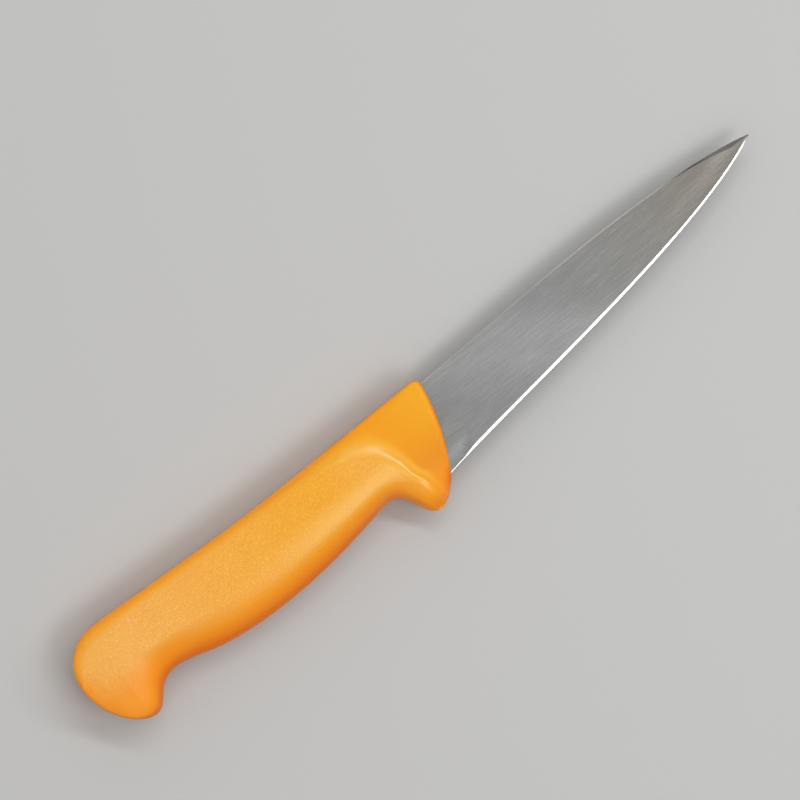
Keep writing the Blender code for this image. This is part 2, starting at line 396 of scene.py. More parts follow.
# Where the top side begins, whose rolls and walls take paler painted light
TOP_SIDE_Y = (0.004, 0.014)
# Painted haze of reflected light: over the grip's rear and butt, and just before the crease
PAINTED_HAZE_X = (-0.030, -0.125)
PAINTED_HAZE_Y = (-0.016, 0.004)
PAINTED_HAZE_FRONT_X = (-0.044, -0.024)
# Painted sheen above the belly, towards the front of the grip
PAINTED_SHEEN_X = (-0.085, -0.035)
PAINTED_SHEEN_Y = (0.005, -0.001)
# Painted light on the rolls and walls at the guard
GUARD_SLANT = 0.87
GUARD_SLANTED = (-0.0195, -0.0255)
GUARD_X = (-0.036, -0.022)
GUARD_Y = (-0.006, -0.012)
# Painted light on the bolster, paler towards its front and top
PAINTED_LIGHT_SLANT = 0.3
PAINTED_LIGHT_REACH = (-0.009, 0.009)
# Painted shade over the bolster's lower part
PAINTED_SHADE_BOLSTER_Y = (0.006, -0.008)
# The hook's recess: painted shade there, and a rougher, less glossy finish
HOOK_X = (-0.100, -0.116)
HOOK_Y = (0.006, -0.006)
# Painted shade where the grip's rear begins to roll over below
PAINTED_WAIST_SHADE_X = (-0.055, -0.080)
PAINTED_WAIST_SHADE_LEVEL = (0.955, 0.9995)
# How much of each tone goes in: painted haze before the crease, painted sheen, painted shade in the hook's
# recess and along the grip's rear, the gate's mark, and painted light on the bolster
TONE_SHARES = {"pale front": 0.45, "painted_sheen": 0.5, "hook": 0.8, "painted_waist_shade": 0.4, "gate": 0.6, "forward": 0.7}

# The mould's grain: scales of its noise, what counts as a fleck, and how it shows in the colour
COARSE_SCALE = 1500.0
FINE_SCALE = 3100.0
CLOUD_SCALE = 70.0
COARSE_SHARE = 0.6
FLECK_REACH = (0.42, 0.74)
FLECK_MEAN = 0.38
FINE_CONTRAST = 0.75
SPECKLE_MEAN = 0.48
CLOUD_CONTRAST = 0.5
SMOOTH_RELIEF = 0.08
GRAIN_BUMP = {"Strength": 0.75, "Distance": 0.00018}

# Roughness and specular level of the plain polymer, and what each finish adds to them
ROUGHNESS = {
    "plain": 0.25,
    "grain": 0.11,
    "fleck": 0.12,
    "matt": 0.23,
    "gate": 0.20,
    "crest": -0.07,
    "hook": 0.10,
}
SPECULAR = {"plain": 0.42, "matt": -0.22, "steep": -0.34, "hook": -0.18, "crest": 0.14}
SUBSURFACE = {"Weight": 0.25, "Radius": (1.0, 0.30, 0.08), "Scale": 0.002}


def amber_moulding():
    """Amber polymer: paler where the mould's grain is, deeper on rolls and walls, rough at the gate.

    Painted haze, sheen and light make the grip's flats, the crease's crest, the bolster and the guard paler
    in places; painted shade deepens the rolls and walls, the hook's recess, the grip's rear roll and the
    lower bolster.
    """
    material, graph, shader = material_graph("amber_moulding")
    place = graph.add("ShaderNodeTexCoord").outputs["Object"]
    x, y, _ = graph.parts(place)
    level = attribute(graph, "level")
    flat = graph.smooth(level, *FLAT_LEVEL)
    steep = graph.smooth(attribute(graph, "rise"), *STEEP_RISE)
    bolster = attribute(graph, "bolster")
    matt = attribute(graph, "matt")
    gate = attribute(graph, "gate")
    grained = attribute(graph, "grained")
    glossy = attribute(graph, "crest") * graph.smooth(y, *GLOSS_Y)
    coarse = graph.noise(place, COARSE_SCALE, 1.0)
    fine = graph.noise(place, FINE_SCALE, 1.0)
    cloud = graph.noise(place, CLOUD_SCALE, 3.0)

    # The grip's flat sides, speckled by the grain, and a painted sheen above the belly,
    # a paler, whiter tone where a highlight lies
    texture = coarse * COARSE_SHARE + fine * (1.0 - COARSE_SHARE)
    fleck = graph.smooth(texture, *FLECK_REACH)
    grain = fleck - FLECK_MEAN + (fine - 0.5) * FINE_CONTRAST
    speckle = graph.clamp(SPECKLE_MEAN + grain * grained + (cloud - 0.5) * CLOUD_CONTRAST)
    front_amber = graph.mix(speckle, *AMBER_PAIRS["front"])
    painted_haze_amber = graph.mix(speckle, *AMBER_PAIRS["butt"])
    # Painted haze: the flats turn paler and whiter towards the butt and just before the crease, as under
    # reflected light
    painted_haze = graph.smooth(x, *PAINTED_HAZE_X) * graph.smooth(y, *PAINTED_HAZE_Y)
    painted_haze = painted_haze + TONE_SHARES["pale front"] * graph.smooth(x, *PAINTED_HAZE_FRONT_X)
    grain_amber = graph.mix(painted_haze, front_amber, painted_haze_amber)
    # Painted sheen: a paler, whiter tone standing for a highlight above the belly
    painted_sheen = graph.smooth(x, *PAINTED_SHEEN_X) * graph.smooth(y, *PAINTED_SHEEN_Y)
    grain_amber = graph.mix(painted_sheen * TONE_SHARES["painted_sheen"], grain_amber, AMBER_TONES["painted_sheen"])

    # The bolster, the crest of the crease, the hook and the grip's rear: painted light on the bolster and
    # the crest, painted shade on the lower bolster, in the hook's recess and along the rear's lower roll
    # Painted light: the bolster turns paler towards its front and top, mixed with random tone
    painted_bolster_light = graph.smooth(x + PAINTED_LIGHT_SLANT * y, *PAINTED_LIGHT_REACH)
    forward = TONE_SHARES["forward"] * painted_bolster_light + (1.0 - TONE_SHARES["forward"]) * cloud
    bolster_amber = graph.mix(forward, *AMBER_PAIRS["bolster"])
    # Painted shade deepens the bolster's lower part
    painted_bolster_shade = graph.smooth(y, *PAINTED_SHADE_BOLSTER_Y)
    bolster_amber = graph.mix(painted_bolster_shade, bolster_amber, AMBER_TONES["painted shade low bolster"])
    # Painted light: the crest and slope of the crease are yellower, with random tone
    painted_light_crest_amber = graph.mix(cloud, *AMBER_PAIRS["crest"])
    colour = graph.mix(grained, painted_light_crest_amber, grain_amber)
    colour = graph.mix(bolster, colour, bolster_amber)
    # Painted shade deepens the hook's recess
    hook = graph.smooth(x, *HOOK_X) * graph.smooth(y, *HOOK_Y)
    colour = graph.mix(hook * TONE_SHARES["hook"], colour, AMBER_TONES["hook"])
    # The top side: its rolls and walls take paler painted light
    top_side = graph.smooth(y, *TOP_SIDE_Y)
    # Painted shade at the start of the lower roll along the grip's rear
    painted_waist_shade = (1.0 - graph.smooth(level, *PAINTED_WAIST_SHADE_LEVEL)) * (1.0 - top_side) * graph.smooth(x, *PAINTED_WAIST_SHADE_X)
    colour = graph.mix(painted_waist_shade * TONE_SHARES["painted_waist_shade"], colour, AMBER_TONES["painted_waist_shade"])

    # The rolled edges and the steep walls under them: deeper as painted shade, partly also the rolls'
    # smooth finish;
    # paler as painted light on the top side and at the guard
    # Painted light: the guard's rolls and walls are paler
    guard = graph.smooth(y + GUARD_SLANT * x, *GUARD_SLANTED) * graph.smooth(y, *GUARD_Y)
    guard = guard * graph.smooth(x, *GUARD_X)
    low_roll = graph.mix(cloud, *AMBER_PAIRS["low roll"])
    low_roll = graph.mix(guard, low_roll, AMBER_TONES["guard roll"])
    top_roll = graph.mix(cloud, *AMBER_PAIRS["top roll"])
    roll_amber = graph.mix(top_side, low_roll, top_roll)
    low_wall = graph.mix(guard, AMBER_TONES["low wall"], AMBER_TONES["guard wall"])
    wall_amber = graph.mix(top_side, low_wall, AMBER_TONES["top wall"])
    # Painted shade: the steep walls take the deepest tones
    roll_amber = graph.mix(steep, roll_amber, wall_amber)
    # The flats keep their own tones; rolls and walls take their deeper tones, partly finish and partly
    # painted shade
    colour = graph.mix(flat, roll_amber, colour)
    colour = graph.mix(gate * TONE_SHARES["gate"], colour, AMBER_TONES["gate"])
    graph.feed(shader.inputs["Base Color"], colour)

    roughness = ROUGHNESS["plain"] + ROUGHNESS["grain"] * grained + ROUGHNESS["matt"] * matt
    roughness = roughness + ROUGHNESS["fleck"] * (coarse - 0.5) * grained + ROUGHNESS["gate"] * gate
    roughness = roughness + ROUGHNESS["crest"] * glossy + ROUGHNESS["hook"] * hook
    graph.feed(shader.inputs["Roughness"], roughness)
    relief = SMOOTH_RELIEF + (1.0 - SMOOTH_RELIEF) * grained + gate
    bump = graph.add("ShaderNodeBump", {"Height": texture * relief, **GRAIN_BUMP})
    graph.feed(shader.inputs["Normal"], bump.outputs[0])
    specular = SPECULAR["plain"] + SPECULAR["matt"] * matt + SPECULAR["crest"] * glossy
    specular = specular + SPECULAR["steep"] * steep * (1.0 - matt)
    specular = specular + SPECULAR["hook"] * hook * (1.0 - steep)
    graph.feed(shader.inputs["Specular IOR Level"], specular)
    for name, value in SUBSURFACE.items():
        shader.inputs[f"Subsurface {name}"].default_value = value
    return material


# Brush marks of the ground steel, layer by layer: scales along x, y and z, detail and roughness of the
# noise, and how much the layer shows in the tone
BRUSH_LAYERS = {
    "lines": ((90.0, 3600.0, 300.0), 2.0, 0.6, 0.32),
    "hairs": ((160.0, 6000.0, 300.0), 1.0, 0.5, 0.28),
    "bands": ((12.0, 120.0, 100.0), 1.0, 0.5, 0.08),
}
BOW_SCALE = 25.0
BOW_DEPTH = 0.002
SPECK_SCALE = 900.0
SPECK_REACH = (0.84, 0.89)
SPECK_TONE = 0.30
LINE_ROUGHNESS = 0.10
LINE_HEIGHT = 0.00002

# A painted reflection: the paler band on the blade's side; how it slants across the blade,
# and where it rises and falls
PAINTED_GLEAM_SLANT = 1.5
PAINTED_GLEAM_RISE = (0.012, 0.045)
PAINTED_GLEAM_FALL = (0.076, 0.056)


def steel(name, colours, reach, roughness, depth, painted_gleam=0.0):
    """Ground steel with brush marks along the blade; its colour runs from one to the other along x.

    The depth is the strength of the marks' bump, and the gleam that of the paler band, a painted
    reflection.
    """
    material, graph, shader = material_graph(name)
    place = graph.add("ShaderNodeTexCoord").outputs["Object"]
    x, y, z = graph.parts(place)
    bowed = y + graph.noise(place, BOW_SCALE, 1.0) * BOW_DEPTH
    speck = graph.smooth(graph.noise(place, SPECK_SCALE, 0.0), *SPECK_REACH)
    tone = 1.0 + SPECK_TONE * speck
    marks = {}
    for layer, (scales, detail, coarseness, share) in BRUSH_LAYERS.items():
        spot = graph.vector(x * scales[0], bowed * scales[1], z * scales[2])
        marks[layer] = graph.noise(spot, 1.0, detail, coarseness)
        tone = tone + share * (marks[layer] - 0.5)
    # Painted reflection: a paler band slanting across the blade's side
    slant = x + PAINTED_GLEAM_SLANT * y
    paler = graph.smooth(slant, *PAINTED_GLEAM_RISE) * graph.smooth(slant, *PAINTED_GLEAM_FALL)
    tone = tone * (1.0 + painted_gleam * paler)
    shade = graph.add("ShaderNodeVectorMath", operation="SCALE")
    graph.feed(shade.inputs[0], graph.mix(graph.smooth(x, *reach), *colours))
    graph.feed(shade.inputs["Scale"], tone)
    graph.feed(shader.inputs["Base Color"], shade.outputs[0])
    graph.feed(shader.inputs["Roughness"], roughness + LINE_ROUGHNESS * (marks["lines"] - 0.5))
    bump = {"Height": marks["lines"], "Strength": depth, "Distance": LINE_HEIGHT}
    graph.feed(shader.inputs["Normal"], graph.add("ShaderNodeBump", bump).outputs[0])
    shader.inputs["Metallic"].default_value = 1.0
    return material


# Outlines: knots, and for each stretch between them its two handles as shares of its own box
BACK_KNOTS = [
    BUTT,
    (BUTT_ROUND - HANDLE_LENGTH, BUTT_RISE),
    (WAIST_FROM_BUTT - HANDLE_LENGTH, WAIST_RISE),
    (-BELLY_PLACE, BELLY_RISE),
    (-NOTCH_PLACE, 0.0),
    (-NOSE_PLACE, 0.0),
    (FRONT_PLACE - FRONT_ROUND, 0.0),
    (FRONT_PLACE, -FRONT_CORNER_DROP),
]
BACK_HANDLES = [
    ((0, 0.62), (0.53, 0)),
    ((0.33, 0), (0.33, 0.40)),
    ((0.33, 0.34), (0.33, 0.24)),
    ((0.33, 0.90), (0.33, 0)),
    ((0.33, 0), (0.33, 0)),
    ((0.33, 0), (0.33, 0)),
    ((0.80, 0), (0.05, 0.75)),
]
BELLY_KNOTS = [
    BUTT,
    (HOOK_FROM_BUTT - HANDLE_LENGTH, -HOOK_DROP),
    (WAIST_FROM_BUTT - HANDLE_LENGTH, -WAIST_DROP),
    (-BELLY_PLACE, -BELLY_DROP),
    (-NOTCH_PLACE, -NOTCH_DROP),
    (-GUARD_PLACE, -GUARD_DROP),
    (-NOSE_PLACE, -NOSE_DROP),
    HEEL,
]
BELLY_HANDLES = [
    ((0, 0.52), (0.46, 0)),
    ((0.39, 0), (0.63, 0)),
    ((0.19, 0), (0.69, 0)),
    ((0.52, 0), (0.09, 0)),
    ((0.65, 0), (0.53, 0)),
    ((0.43, 0), (0.20, 0.36)),
    ((0.33, 0.25), (0.25, 0.40)),
]
SPINE_KNOTS = [SPINE_START, (CREST_PLACE, -CREST_DROP), TIP]
SPINE_HANDLES = [((0.33, 0.33), (0.33, 0)), ((0.20, 0), (0.26, 0.90))]
EDGE_KNOTS = [HEEL, TIP]
EDGE_HANDLES = [((0.20, 0.20), (0.21, 0.60))]


def stretch_points(start, end, leave, arrive):
    """The four control points of one Bezier stretch."""
    start, end = Vector((*start, 0)), Vector((*end, 0))
    box = end - start
    first = start + Vector((leave[0] * box.x, leave[1] * box.y, 0))
    second = end - Vector((arrive[0] * box.x, arrive[1] * box.y, 0))
    return start, first, second, end


def make_rail(name, knots, handles):
    """A curve that the handle's node tree reads its stations from."""
    data = bpy.data.curves.new(name, "CURVE")
    data.dimensions = "3D"
    spline = data.splines.new("BEZIER")
    spline.bezier_points.add(len(knots) - 1)
    spline.resolution_u = STRETCH_STATIONS
    points = spline.bezier_points
    for point, knot in zip(points, knots):
        point.handle_left_type = "FREE"
        point.handle_right_type = "FREE"
        point.co = (*knot, 0)
        point.handle_left = point.co
        point.handle_right = point.co
    for i, (leave, arrive) in enumerate(handles):
        _, first, second, _ = stretch_points(knots[i], knots[i + 1], leave, arrive)
        points[i].handle_right = first
        points[i + 1].handle_left = second
    rail = bpy.data.objects.new(name, data)
    bpy.context.scene.collection.objects.link(rail)
    return rail


def trace(knots, handles, steps):
    """Points along an outline, as an array of x, y."""
    points = [Vector((*knots[0], 0))]
    for start, end, (leave, arrive) in zip(knots, knots[1:], handles):
        points += interpolate_bezier(*stretch_points(start, end, leave, arrive), steps + 1)[1:]
    return np.array([(p.x, p.y) for p in points])


# The handle's rails, and along each edge the stations where its roll changes and the sizes there
RAILS = {
    "Back rail": (BACK_KNOTS, BACK_HANDLES),
    "Belly rail": (BELLY_KNOTS, BELLY_HANDLES),
    "Rear rail": (BELLY_KNOTS[:6], BELLY_HANDLES[:5]),
    "Under rail": (BELLY_KNOTS[5:], BELLY_HANDLES[5:]),
}
ROLL_STAGES = {
    "Back rail": ((0.2, 0.9, 2.2, 4, 6), ("Butt", "Crown", "Back", "Back", "Bolster")),
    "Rear rail": (
        (0.1, 0.6, 1.1, 2, 3, 4, 4.7),
        ("Butt", "Low butt", "Hook", "Waist", "Belly", "Notch", "Guard"),
    ),
    "Under rail": ((5, 7), ("Under", "Heel")),
}

# Places along x where the handle's half thickness changes
HALF_PLACES = (
    HOOK_FROM_BUTT - HANDLE_LENGTH,
    WAIST_FROM_BUTT - HANDLE_LENGTH,
    -BELLY_PLACE,
    BOLSTER_PLACE,
    FRONT_PLACE - FRONT_ROUND / 2,
)


def handle_tree():
    """Lofts the handle between its two rails: flat sides, rolled edges, crease, bolster and front wall."""
    tree = bpy.data.node_groups.new("handle_loft", "GeometryNodeTree")
    tree.interface.new_socket("Handle", in_out="OUTPUT", socket_type="NodeSocketGeometry")
    kinds = {name: "NodeSocketObject" for name in RAILS}
    kinds.update({"Origin": "NodeSocketVector", "Finish": "NodeSocketMaterial"})
    kinds.update({name: "NodeSocketFloat" for name in HANDLE_SIZES})
    for name, kind in kinds.items():
        tree.interface.new_socket(name, in_out="INPUT", socket_type=kind)
    graph = Graph(tree)
    given = graph.add("NodeGroupInput").outputs
    size = {name: Num(graph, given[name]) for name in HANDLE_SIZES}

    # A sheet of points: each row is a station along the handle, each column a place round its ring
    side_columns = BACK_POINTS + SIDE_POINTS + BELLY_POINTS
    ring = 2 * side_columns
    last_station = STRETCHES * STRETCH_STATIONS
    sheet = graph.add("GeometryNodeMeshGrid")
    sheet.inputs["Vertices X"].default_value = last_station + 1 + WALL_ROWS
    sheet.inputs["Vertices Y"].default_value = ring + 1
    index = Num(graph, graph.add("GeometryNodeInputIndex").outputs[0])
    row = graph.math("FLOOR", (index + 0.5) / (ring + 1))
    column = index - row * (ring + 1)
    station = graph.math("MINIMUM", row, last_station)
    share = station / STRETCH_STATIONS
    wall = graph.clamp((row - last_station) / WALL_ROWS)
    step = graph.math("MINIMUM", column, ring - column)
    side = 1.0 - 2.0 * graph.math("LESS_THAN", column, side_columns)

    # The paired points of the back and the belly at this station
    curves = {}
    for name in RAILS:
        rail = graph.add("GeometryNodeObjectInfo", {"Object": given[name]})
        curves[name] = rail.outputs["Geometry"]
    ends = []
    for name in ("Back rail", "Belly rail"):
        points = graph.add("GeometryNodeCurveToPoints", {"Curve": curves[name]}, mode="EVALUATED")
        sample = graph.add("GeometryNodeSampleIndex", data_type="FLOAT_VECTOR")
        graph.feed(sample.inputs["Geometry"], points.outputs["Points"])
        graph.feed(sample.inputs["Value"], graph.add("GeometryNodeInputPosition").outputs[0])
        graph.feed(sample.inputs["Index"], station)
        ends.append(graph.parts(sample.outputs[0])[:2])
    (back_x, back_y), (belly_x, belly_y) = ends
    run_x, run_y = belly_x - back_x, belly_y - back_y
    width = graph.math("SQRT", run_x * run_x + run_y * run_y) + TINY

    # Sizes of the rolls at this station
    rolls = {}
    for name, (places, words) in ROLL_STAGES.items():
        rolls[name] = [
            graph.stages(share, places, [size[f"{word} {kind}"] for word in words])
            for kind in ROLL_KINDS
        ]
    back_roll, _, back_draft, _ = rolls["Back rail"]
    belly_roll = rolls["Rear rail"][0]
    fit = graph.math("MINIMUM", 1.0 / (back_roll + belly_roll), 1.0 / width)

    # Places from back to belly, drawn together towards the parting line
    back_roll, belly_roll, back_draft = back_roll * fit, belly_roll * fit, back_draft * fit
    climb = graph.clamp(step / WALL_POINTS) ** WALL_CROWDING
    rise = graph.clamp((step - WALL_POINTS) / (BACK_POINTS - WALL_POINTS)) * (math.pi / 2)
    level = graph.clamp((step - BACK_POINTS) / SIDE_POINTS)
    fall = graph.clamp((step - BACK_POINTS - SIDE_POINTS) / BELLY_POINTS)
    fall = (1.0 - (1.0 - fall) ** BELLY_CROWDING) * (math.pi / 2)
    across = back_draft * climb + (back_roll - back_draft) * (1.0 - graph.math("COSINE", rise))
    across = across + (1.0 - back_roll - belly_roll) * level
    across = across + belly_roll * graph.math("SINE", fall)
    x = back_x + run_x * across
    y = back_y + run_y * across

    # Half thickness: waisted, level along the grip, thinner and rolled over at the front
    names = ("Butt half", "Waist half", "Grip half", "Grip half", "Front half")
    half = graph.stages(x, HALF_PLACES, [size[name] for name in names])
    front = graph.quarter((STRETCHES - share) / size["Front share"])
    half = half - size["Front roll"] * (1.0 - front)

    # Each side rolls over towards the edges by its distance from them
    inner = graph.math("GREATER_THAN", step, 0.5) * graph.math("LESS_THAN", step, side_columns - 0.5)
    lifts = []
    turn = front
    for name, (roll, depth, draft, break_away) in rolls.items():
        edge = graph.add("GeometryNodeCurveToMesh", {"Curve": curves[name]})
        near = graph.add("GeometryNodeProximity", {"Geometry": edge.outputs[0]}, target_element="EDGES")
        graph.feed(near.inputs["Sample Position"], graph.vector(x, y, 0.0))
        distance = Num(graph, near.outputs["Distance"])
        kept = 1.0 - break_away * (1.0 - graph.clamp(distance / roll))
        rolled = graph.quarter(distance / roll) * kept
        full = graph.math("MINIMUM", depth / half, 1.0)
        lifts.append((1.0 - full) * graph.quarter(distance / draft) + full * rolled)
        turn = turn * (1.0 - (1.0 - rolled) * graph.math("MINIMUM", depth / roll, 1.0))
    lift = inner * graph.math("MINIMUM", lifts[0], lifts[1]) * lifts[2]
    middle = 2.0 * across - 1.0
    x = x + size["Front bulge"] * graph.smooth(share, 4, 7) * (1.0 - middle * middle)

    # The grip ends at a curved crease, where the side falls away to the bolster
    top = (y + size["Notch drop"]) / size["Notch drop"]
    high = graph.math("MAXIMUM", top, 0.0)
    swept = size["Crease sweep"] * high**CREASE_POWER
    line = 0.0 - size["Crease place"] - size["Crease lean"] * top - swept
    line = line + size["Crease kick"] * graph.smooth(y, *KICK_REACH)
    steeper = float(CREASE_POWER) * size["Crease sweep"] * high ** (CREASE_POWER - 1)
    lean = (size["Crease lean"] + steeper) / size["Notch drop"]
    ahead = (x - line) / graph.math("SQRT", 1.0 + lean * lean)
    fade = size["Crease fade"] * high * high
    pinch = size["Crease pinch"] * graph.smooth(y, *PINCH_REACH)
    crest = graph.rounded(ahead, size["Crest round"] + fade)
    foot_place = size["Crease width"] * (1.0 - PINCHED_FOOT * pinch)
    foot = graph.rounded(ahead - foot_place, size["Foot round"] + fade)
    drop = size["Crease slope"] * (1.0 + pinch) * (crest - foot)
    place = graph.vector(x, y, side * lift)
    uneven = (graph.noise(place, UNEVEN_SCALE, 1.0) - 0.5) * size["Unevenness"]
    z = side * lift * (half - drop + uneven) * (1.0 - wall)

    # The mould's parting line all round, and the gate mark under the guard
    near = graph.clamp(1.0 - graph.math("ABSOLUTE", z) / size["Parting half"])
    outline = graph.smooth(share, *PARTING_FADE)
    outward = 2.0 * graph.math("GREATER_THAN", level, 0.5) - 1.0
    reach_x = (x - size["Gate place"]) / size["Gate length"]
    reach_z = z / size["Gate half"]
    gate = graph.smooth(reach_x * reach_x + reach_z * reach_z, *GATE_EDGE)
    gate = gate * graph.math("GREATER_THAN", fall, GATE_START)
    proud = (near * size["Parting rise"] + gate * size["Gate rise"]) * outline * outward / width
    x = x + run_x * proud
    y = y + run_y * proud

    spot = graph.add("ShaderNodeVectorMath", operation="ADD")
    graph.feed(spot.inputs[0], graph.vector(x, y, z))
    graph.feed(spot.inputs[1], given["Origin"])
    marked = sheet.outputs["Mesh"]
    marks = {
        "level": turn,
        "grained": graph.smooth(turn, *GRAIN_TURN) * graph.smooth(ahead, *GRAIN_AHEAD),
        "bolster": graph.smooth(ahead, *BOLSTER_AHEAD),
        "matt": graph.smooth(ahead, *MATT_AHEAD),
        "gate": gate,
        "rise": graph.math("MINIMUM", lift, FRONT_WALL_RISE + (1.0 - FRONT_WALL_RISE) * front),
        "crest": graph.smooth(ahead, *CREST_START) * graph.smooth(ahead, *CREST_END),
    }
    for name, value in marks.items():
        store = graph.add("GeometryNodeStoreNamedAttribute", {"Name": name, "Geometry": marked})
        graph.feed(store.inputs["Value"], value)
        marked = store.outputs["Geometry"]
    shape = graph.add("GeometryNodeSetPosition", {"Geometry": marked, "Position": spot.outputs[0]})
    merge = {"Geometry": shape.outputs[0], "Distance": MERGE_DISTANCE}
    closed = graph.add("GeometryNodeMergeByDistance", merge)
    smooth = graph.add("GeometryNodeSetShadeSmooth", {"Geometry": closed.outputs[0]})
    real = graph.add("GeometryNodeRealizeInstances", {"Geometry": smooth.outputs[0]})
    finish = {"Geometry": real.outputs[0], "Material": given["Finish"]}
    final = graph.add("GeometryNodeSetMaterial", finish)
    graph.add("NodeGroupOutput", {"Handle": final.outputs[0]})
    return tree


def blade_side():
    """The plane of one ground side, as half thickness = a + b x + c y."""
    places = [(1, *SPINE_START), (1, HEEL[0], HEEL[1] + BEVEL_WIDTH), (1, *TIP)]
    return np.linalg.solve(np.array(places), np.array([SPINE_HALF, EDGE_HALF, TIP_HALF]))


SIDE = blade_side()


def half_thickness(point):
    return float(SIDE @ (1, point[0], point[1]))


def ease(value, start, end):
    share = min(max((value - start) / (end - start), 0.0), 1.0)
    return share * share * (3 - 2 * share)


def new_piece(name, mesh):
    piece = bpy.data.objects.new(name, mesh)
    bpy.context.scene.collection.objects.link(piece)
    return piece


def solid(name, bm):
    """A mesh object from a bmesh, moved from the knife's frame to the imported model's."""
    bmesh.ops.recalc_face_normals(bm, faces=bm.faces)
    bmesh.ops.translate(bm, vec=ORIGIN, verts=bm.verts)
    mesh = bpy.data.meshes.new(name)
    bm.to_mesh(mesh)
    bm.free()
    return new_piece(name, mesh)


def boolean(piece, operation, other):
    modifier = piece.modifiers.new(other.name, "BOOLEAN")
    modifier.operation = operation
    modifier.object = other


def settle(piece, helpers):
    """Turns the piece's modifiers into plain mesh and removes the objects that they used."""
    graph = bpy.context.evaluated_depsgraph_get()
    mesh = bpy.data.meshes.new_from_object(piece.evaluated_get(graph))
    piece.modifiers.clear()
    piece.data = mesh
    mesh.name = piece.name
    for helper in helpers:
        bpy.data.objects.remove(helper)


# Rows of the blade's section from the edge up to the spine: finish, and how many faces in it
BLADE_STATIONS = 110
BEVEL, GROUND, SWAGE, SPINE = range(4)
SECTION = [(BEVEL, 3), (GROUND, 14), (SWAGE, 3), (SPINE, 2)]


def blade_section(spine, edge):
    """One side of a section, from the edge to the middle of the spine."""
    rise = spine - edge
    height = np.linalg.norm(rise)
    up = rise / height
    bevel_width = HEEL_BEVEL_WIDTH
    bevel_width += (BEVEL_WIDTH - HEEL_BEVEL_WIDTH) * ease(edge[0], PLUNGE_START, PLUNGE_END)
    bevel_width -= (BEVEL_WIDTH - TIP_BEVEL_WIDTH) * ease(edge[0], BEVEL_TAPER_START, BLADE_LENGTH)
    swage_width = SWAGE_WIDTH
    swage_width += (SWAGE_TIP_WIDTH - SWAGE_WIDTH) * ease(spine[0], SWAGE_START, SWAGE_END)
    bevel = edge + up * min(bevel_width, BEVEL_LIMIT * height)
    swage = spine - up * min(swage_width, SWAGE_LIMIT * height)
    thinned = 1 - bevel_width * EDGE_HALF / BEVEL_WIDTH / half_thickness(bevel)
    swage_half = half_thickness(swage)
    sloped_half = swage_half - np.linalg.norm(spine - swage) * SWAGE_SLOPE
    spine_half = max(SPINE_LIMIT * swage_half, sloped_half)
    corners = [
        (*edge, CUTTING_HALF),
        (*bevel, half_thickness(bevel)),
        (*swage, swage_half),
        (*spine, spine_half),
        (*(spine + up * SPINE_CROWN), 0.0),
    ]
    corners = [np.array(corner) for corner in corners]
    points = [corners[0]]
    for low, high, (_, count) in zip(corners, corners[1:], SECTION):
        points += [low + (high - low) * i / count for i in range(1, count + 1)]
    for point in points[1:]:
        above = np.linalg.norm(point[:2] - edge) - bevel_width
        point[2] *= 1 - thinned * (1 - ease(above, 0.0, THINNED_HEIGHT))
    return points


def make_blade(materials):
    """The blade from its root inside the handle to its tip, ground in strips of one finish each."""
    spine = trace(SPINE_KNOTS, SPINE_HANDLES, BLADE_STATIONS)
    edge = trace(EDGE_KNOTS, EDGE_HANDLES, 2 * BLADE_STATIONS)
    roots = []
    for outline in (spine, edge):
        away = outline[0] - outline[1]
        roots.append(outline[0] + away / np.linalg.norm(away) * ROOT_DEPTH)
    spine = np.vstack([roots[0], spine])
    edge = np.vstack([roots[1], edge])
    bm = bmesh.new()
    rings = []
    for upper, lower in zip(spine[:-1], edge[:-1]):
        near = blade_section(upper, lower)
        far = [(x, y, -z) for x, y, z in reversed(near[:-1])]
        rings.append([bm.verts.new(point) for point in near + far])
    finishes = [finish for finish, count in SECTION for _ in range(count)]
    finishes = finishes + finishes[::-1] + [BEVEL]
    count = len(rings[0])
    for first, second in zip(rings, rings[1:]):
        for i in range(count):
            j = (i + 1) % count
            face = bm.faces.new((first[i], first[j], second[j], second[i]))
            face.material_index = finishes[i]
    tip = bm.verts.new((*TIP, 0.0))
    for i in range(count):
        face = bm.faces.new((rings[-1][i], rings[-1][(i + 1) % count], tip))
        face.material_index = finishes[i]
    root = rings[0]
    for i in range(count // 2):
        corners = dict.fromkeys((i, i + 1, count - i - 2, (count - i - 1) % count))
        face = bm.faces.new([root[c] for c in corners])
        face.material_index = GROUND
    blade = solid("ground_blade", bm)
    for material in materials:
        blade.data.materials.append(material)
    return blade


def finish_all(piece, materials, finish):
    """Gives every face of a piece one of the finishes."""
    for material in materials:
        piece.data.materials.append(material)
    for polygon in piece.data.polygons:
        polygon.material_index = finish


# Ends and middle line of the tang
TANG_BACK = TANG_END_COVER - HANDLE_LENGTH
TANG_FRONT = FRONT_PLACE - ROOT_DEPTH
TANG_MIDDLE = -TANG_DROP - TANG_HEIGHT / 2


def make_bar(name, grow):
    """The tang's plain bar with a round end; grow adds the moulding's fit all round."""
    half = TANG_HEIGHT / 2 + grow
    end = TANG_BACK + TANG_HEIGHT / 2
    front = TANG_FRONT + grow
    outline = [(front, TANG_MIDDLE + half)]
    for i in range(END_SEGMENTS + 1):
        angle = math.pi / 2 + math.pi * i / END_SEGMENTS
        outline.append((end + half * math.cos(angle), TANG_MIDDLE + half * math.sin(angle)))
    outline.append((front, TANG_MIDDLE - half))
    bm = bmesh.new()
    face = bm.faces.new([bm.verts.new((x, y, -TANG_HALF - grow)) for x, y in outline])
    grown = bmesh.ops.extrude_face_region(bm, geom=[face])["geom"]
    lifted = [v for v in grown if isinstance(v, bmesh.types.BMVert)]
    bmesh.ops.translate(bm, vec=(0, 0, 2 * (TANG_HALF + grow)), verts=lifted)
    return solid(name, bm)


